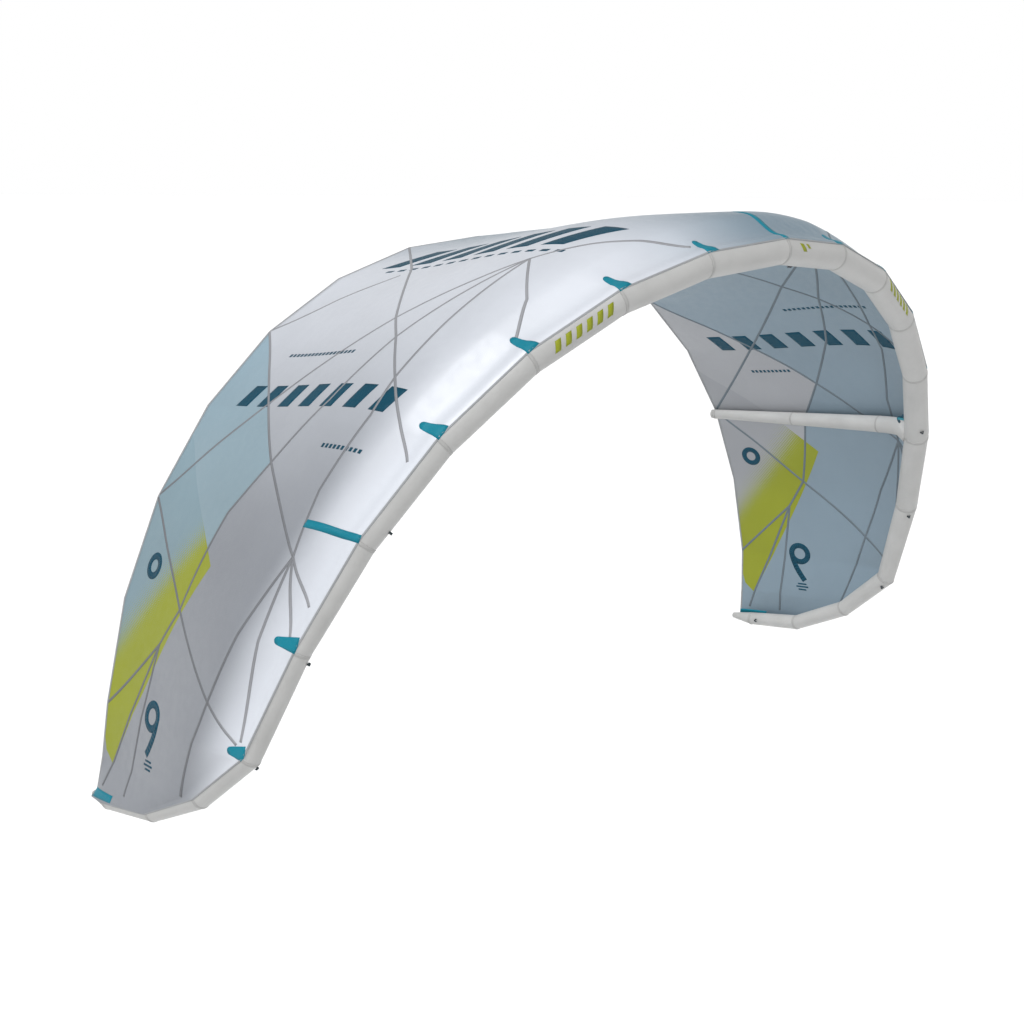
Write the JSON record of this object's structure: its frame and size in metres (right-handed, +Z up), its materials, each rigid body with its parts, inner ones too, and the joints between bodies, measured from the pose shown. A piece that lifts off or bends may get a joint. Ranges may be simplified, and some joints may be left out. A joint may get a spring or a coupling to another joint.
{
  "type": "kitesurf kite",
  "caption": "Inflatable leading-edge kite in flying shape: segmented air tube, struts, cambered arched canopy, inflation hoses with clamps, valves and line loops.",
  "frame": {"origin": "middle of the span, halfway between the front and the back of the bounding box, at the height of the lowest point of the wing tips", "axes": "+X along the span to the right as seen from in front of the leading edge, +Y from the leading edge to the trailing edge, +Z up, in the flying attitude with the ribs level"},
  "size_m": [4.3258, 1.8301, 2.3678],
  "materials": {
    "tube_cloth": "smooth coated polyester sailcloth, satin",
    "canopy_cloth": "coated ripstop, slightly glossy",
    "bladder_film": "soft translucent film",
    "hose_rubber": "matt",
    "lever_plastic": "moulded, fine texture",
    "valve_plastic": "moulded, fine texture",
    "pin_steel": "brushed",
    "reinforcement_webbing": "dense woven polyester"
  },
  "bodies": {
    "root": {"bridle_loops_left": "reinforcement_webbing", "bridle_loops_right": "reinforcement_webbing", "canopy_left_1": "canopy_cloth", "canopy_left_2": "canopy_cloth", "canopy_left_3": "canopy_cloth", "canopy_left_4": "canopy_cloth", "canopy_left_5": "canopy_cloth", "canopy_left_6": "canopy_cloth", "canopy_left_7": "canopy_cloth", "canopy_left_tip": "canopy_cloth", "canopy_right_1": "canopy_cloth", "canopy_right_2": "canopy_cloth", "canopy_right_3": "canopy_cloth", "canopy_right_4": "canopy_cloth", "canopy_right_5": "canopy_cloth", "canopy_right_6": "canopy_cloth", "canopy_right_7": "canopy_cloth", "canopy_right_tip": "canopy_cloth", "clamp_bodies": "valve_plastic", "clamp_pins": "pin_steel", "dump_valve_base": "valve_plastic", "hose_centre": "hose_rubber", "hose_left": "hose_rubber", "hose_right": "hose_rubber", "inflation_valve_base": "valve_plastic", "le_bladder": "bladder_film", "le_tube_left_01": "tube_cloth", "le_tube_left_02": "tube_cloth", "le_tube_left_03": "tube_cloth", "le_tube_left_04": "tube_cloth", "le_tube_left_05": "tube_cloth", "le_tube_left_06": "tube_cloth", "le_tube_left_07": "tube_cloth", "le_tube_left_08": "tube_cloth", "le_tube_left_09": "tube_cloth", "le_tube_left_10": "tube_cloth", "le_tube_left_11": "tube_cloth", "le_tube_right_01": "tube_cloth", "le_tube_right_02": "tube_cloth", "le_tube_right_03": "tube_cloth", "le_tube_right_04": "tube_cloth", "le_tube_right_05": "tube_cloth", "le_tube_right_06": "tube_cloth", "le_tube_right_07": "tube_cloth", "le_tube_right_08": "tube_cloth", "le_tube_right_09": "tube_cloth", "le_tube_right_10": "tube_cloth", "le_tube_right_11": "tube_cloth", "strut_bladders": "bladder_film", "strut_centre": "tube_cloth", "strut_left": "tube_cloth", "strut_right": "tube_cloth", "tip_loops": "reinforcement_webbing", "valve_pins": "pin_steel"},
    "lever_left": {"clamp_lever_left": "lever_plastic"},
    "lever_centre": {"clamp_lever_centre": "lever_plastic"},
    "lever_right": {"clamp_lever_right": "lever_plastic"},
    "inflation_valve_lid": {"inflation_valve_cap": "valve_plastic"},
    "dump_valve_lid": {"dump_valve_cap": "valve_plastic"}
  },
  "joints": [
    {"name": "clamp_lever_left_hinge", "type": "hinge", "parent": "root", "child": "lever_left", "pos_m": [-1.76993, -0.34643, 1.3151], "axis": [-0.5054, 0, -0.8629], "range_deg": [0, 75]},
    {"name": "clamp_lever_centre_hinge", "type": "hinge", "parent": "root", "child": "lever_centre", "pos_m": [-0.086, -0.77015, 2.2332], "axis": [-1, 0, 0], "range_deg": [0, 75]},
    {"name": "clamp_lever_right_hinge", "type": "hinge", "parent": "root", "child": "lever_right", "pos_m": [1.76993, -0.34643, 1.3151], "axis": [-0.5054, 0, 0.8629], "range_deg": [0, 75]},
    {"name": "inflation_valve_cap_hinge", "type": "hinge", "parent": "root", "child": "inflation_valve_lid", "pos_m": [0.1616, -0.79019, 2.14734], "axis": [-0.9921, -0.0855, 0.0916], "range_deg": [0, 150]},
    {"name": "dump_valve_cap_hinge", "type": "hinge", "parent": "root", "child": "dump_valve_lid", "pos_m": [-1.85349, -0.25932, 1.04679], "axis": [0.3877, -0.3288, 0.8612], "range_deg": [0, 150]}
  ]
}
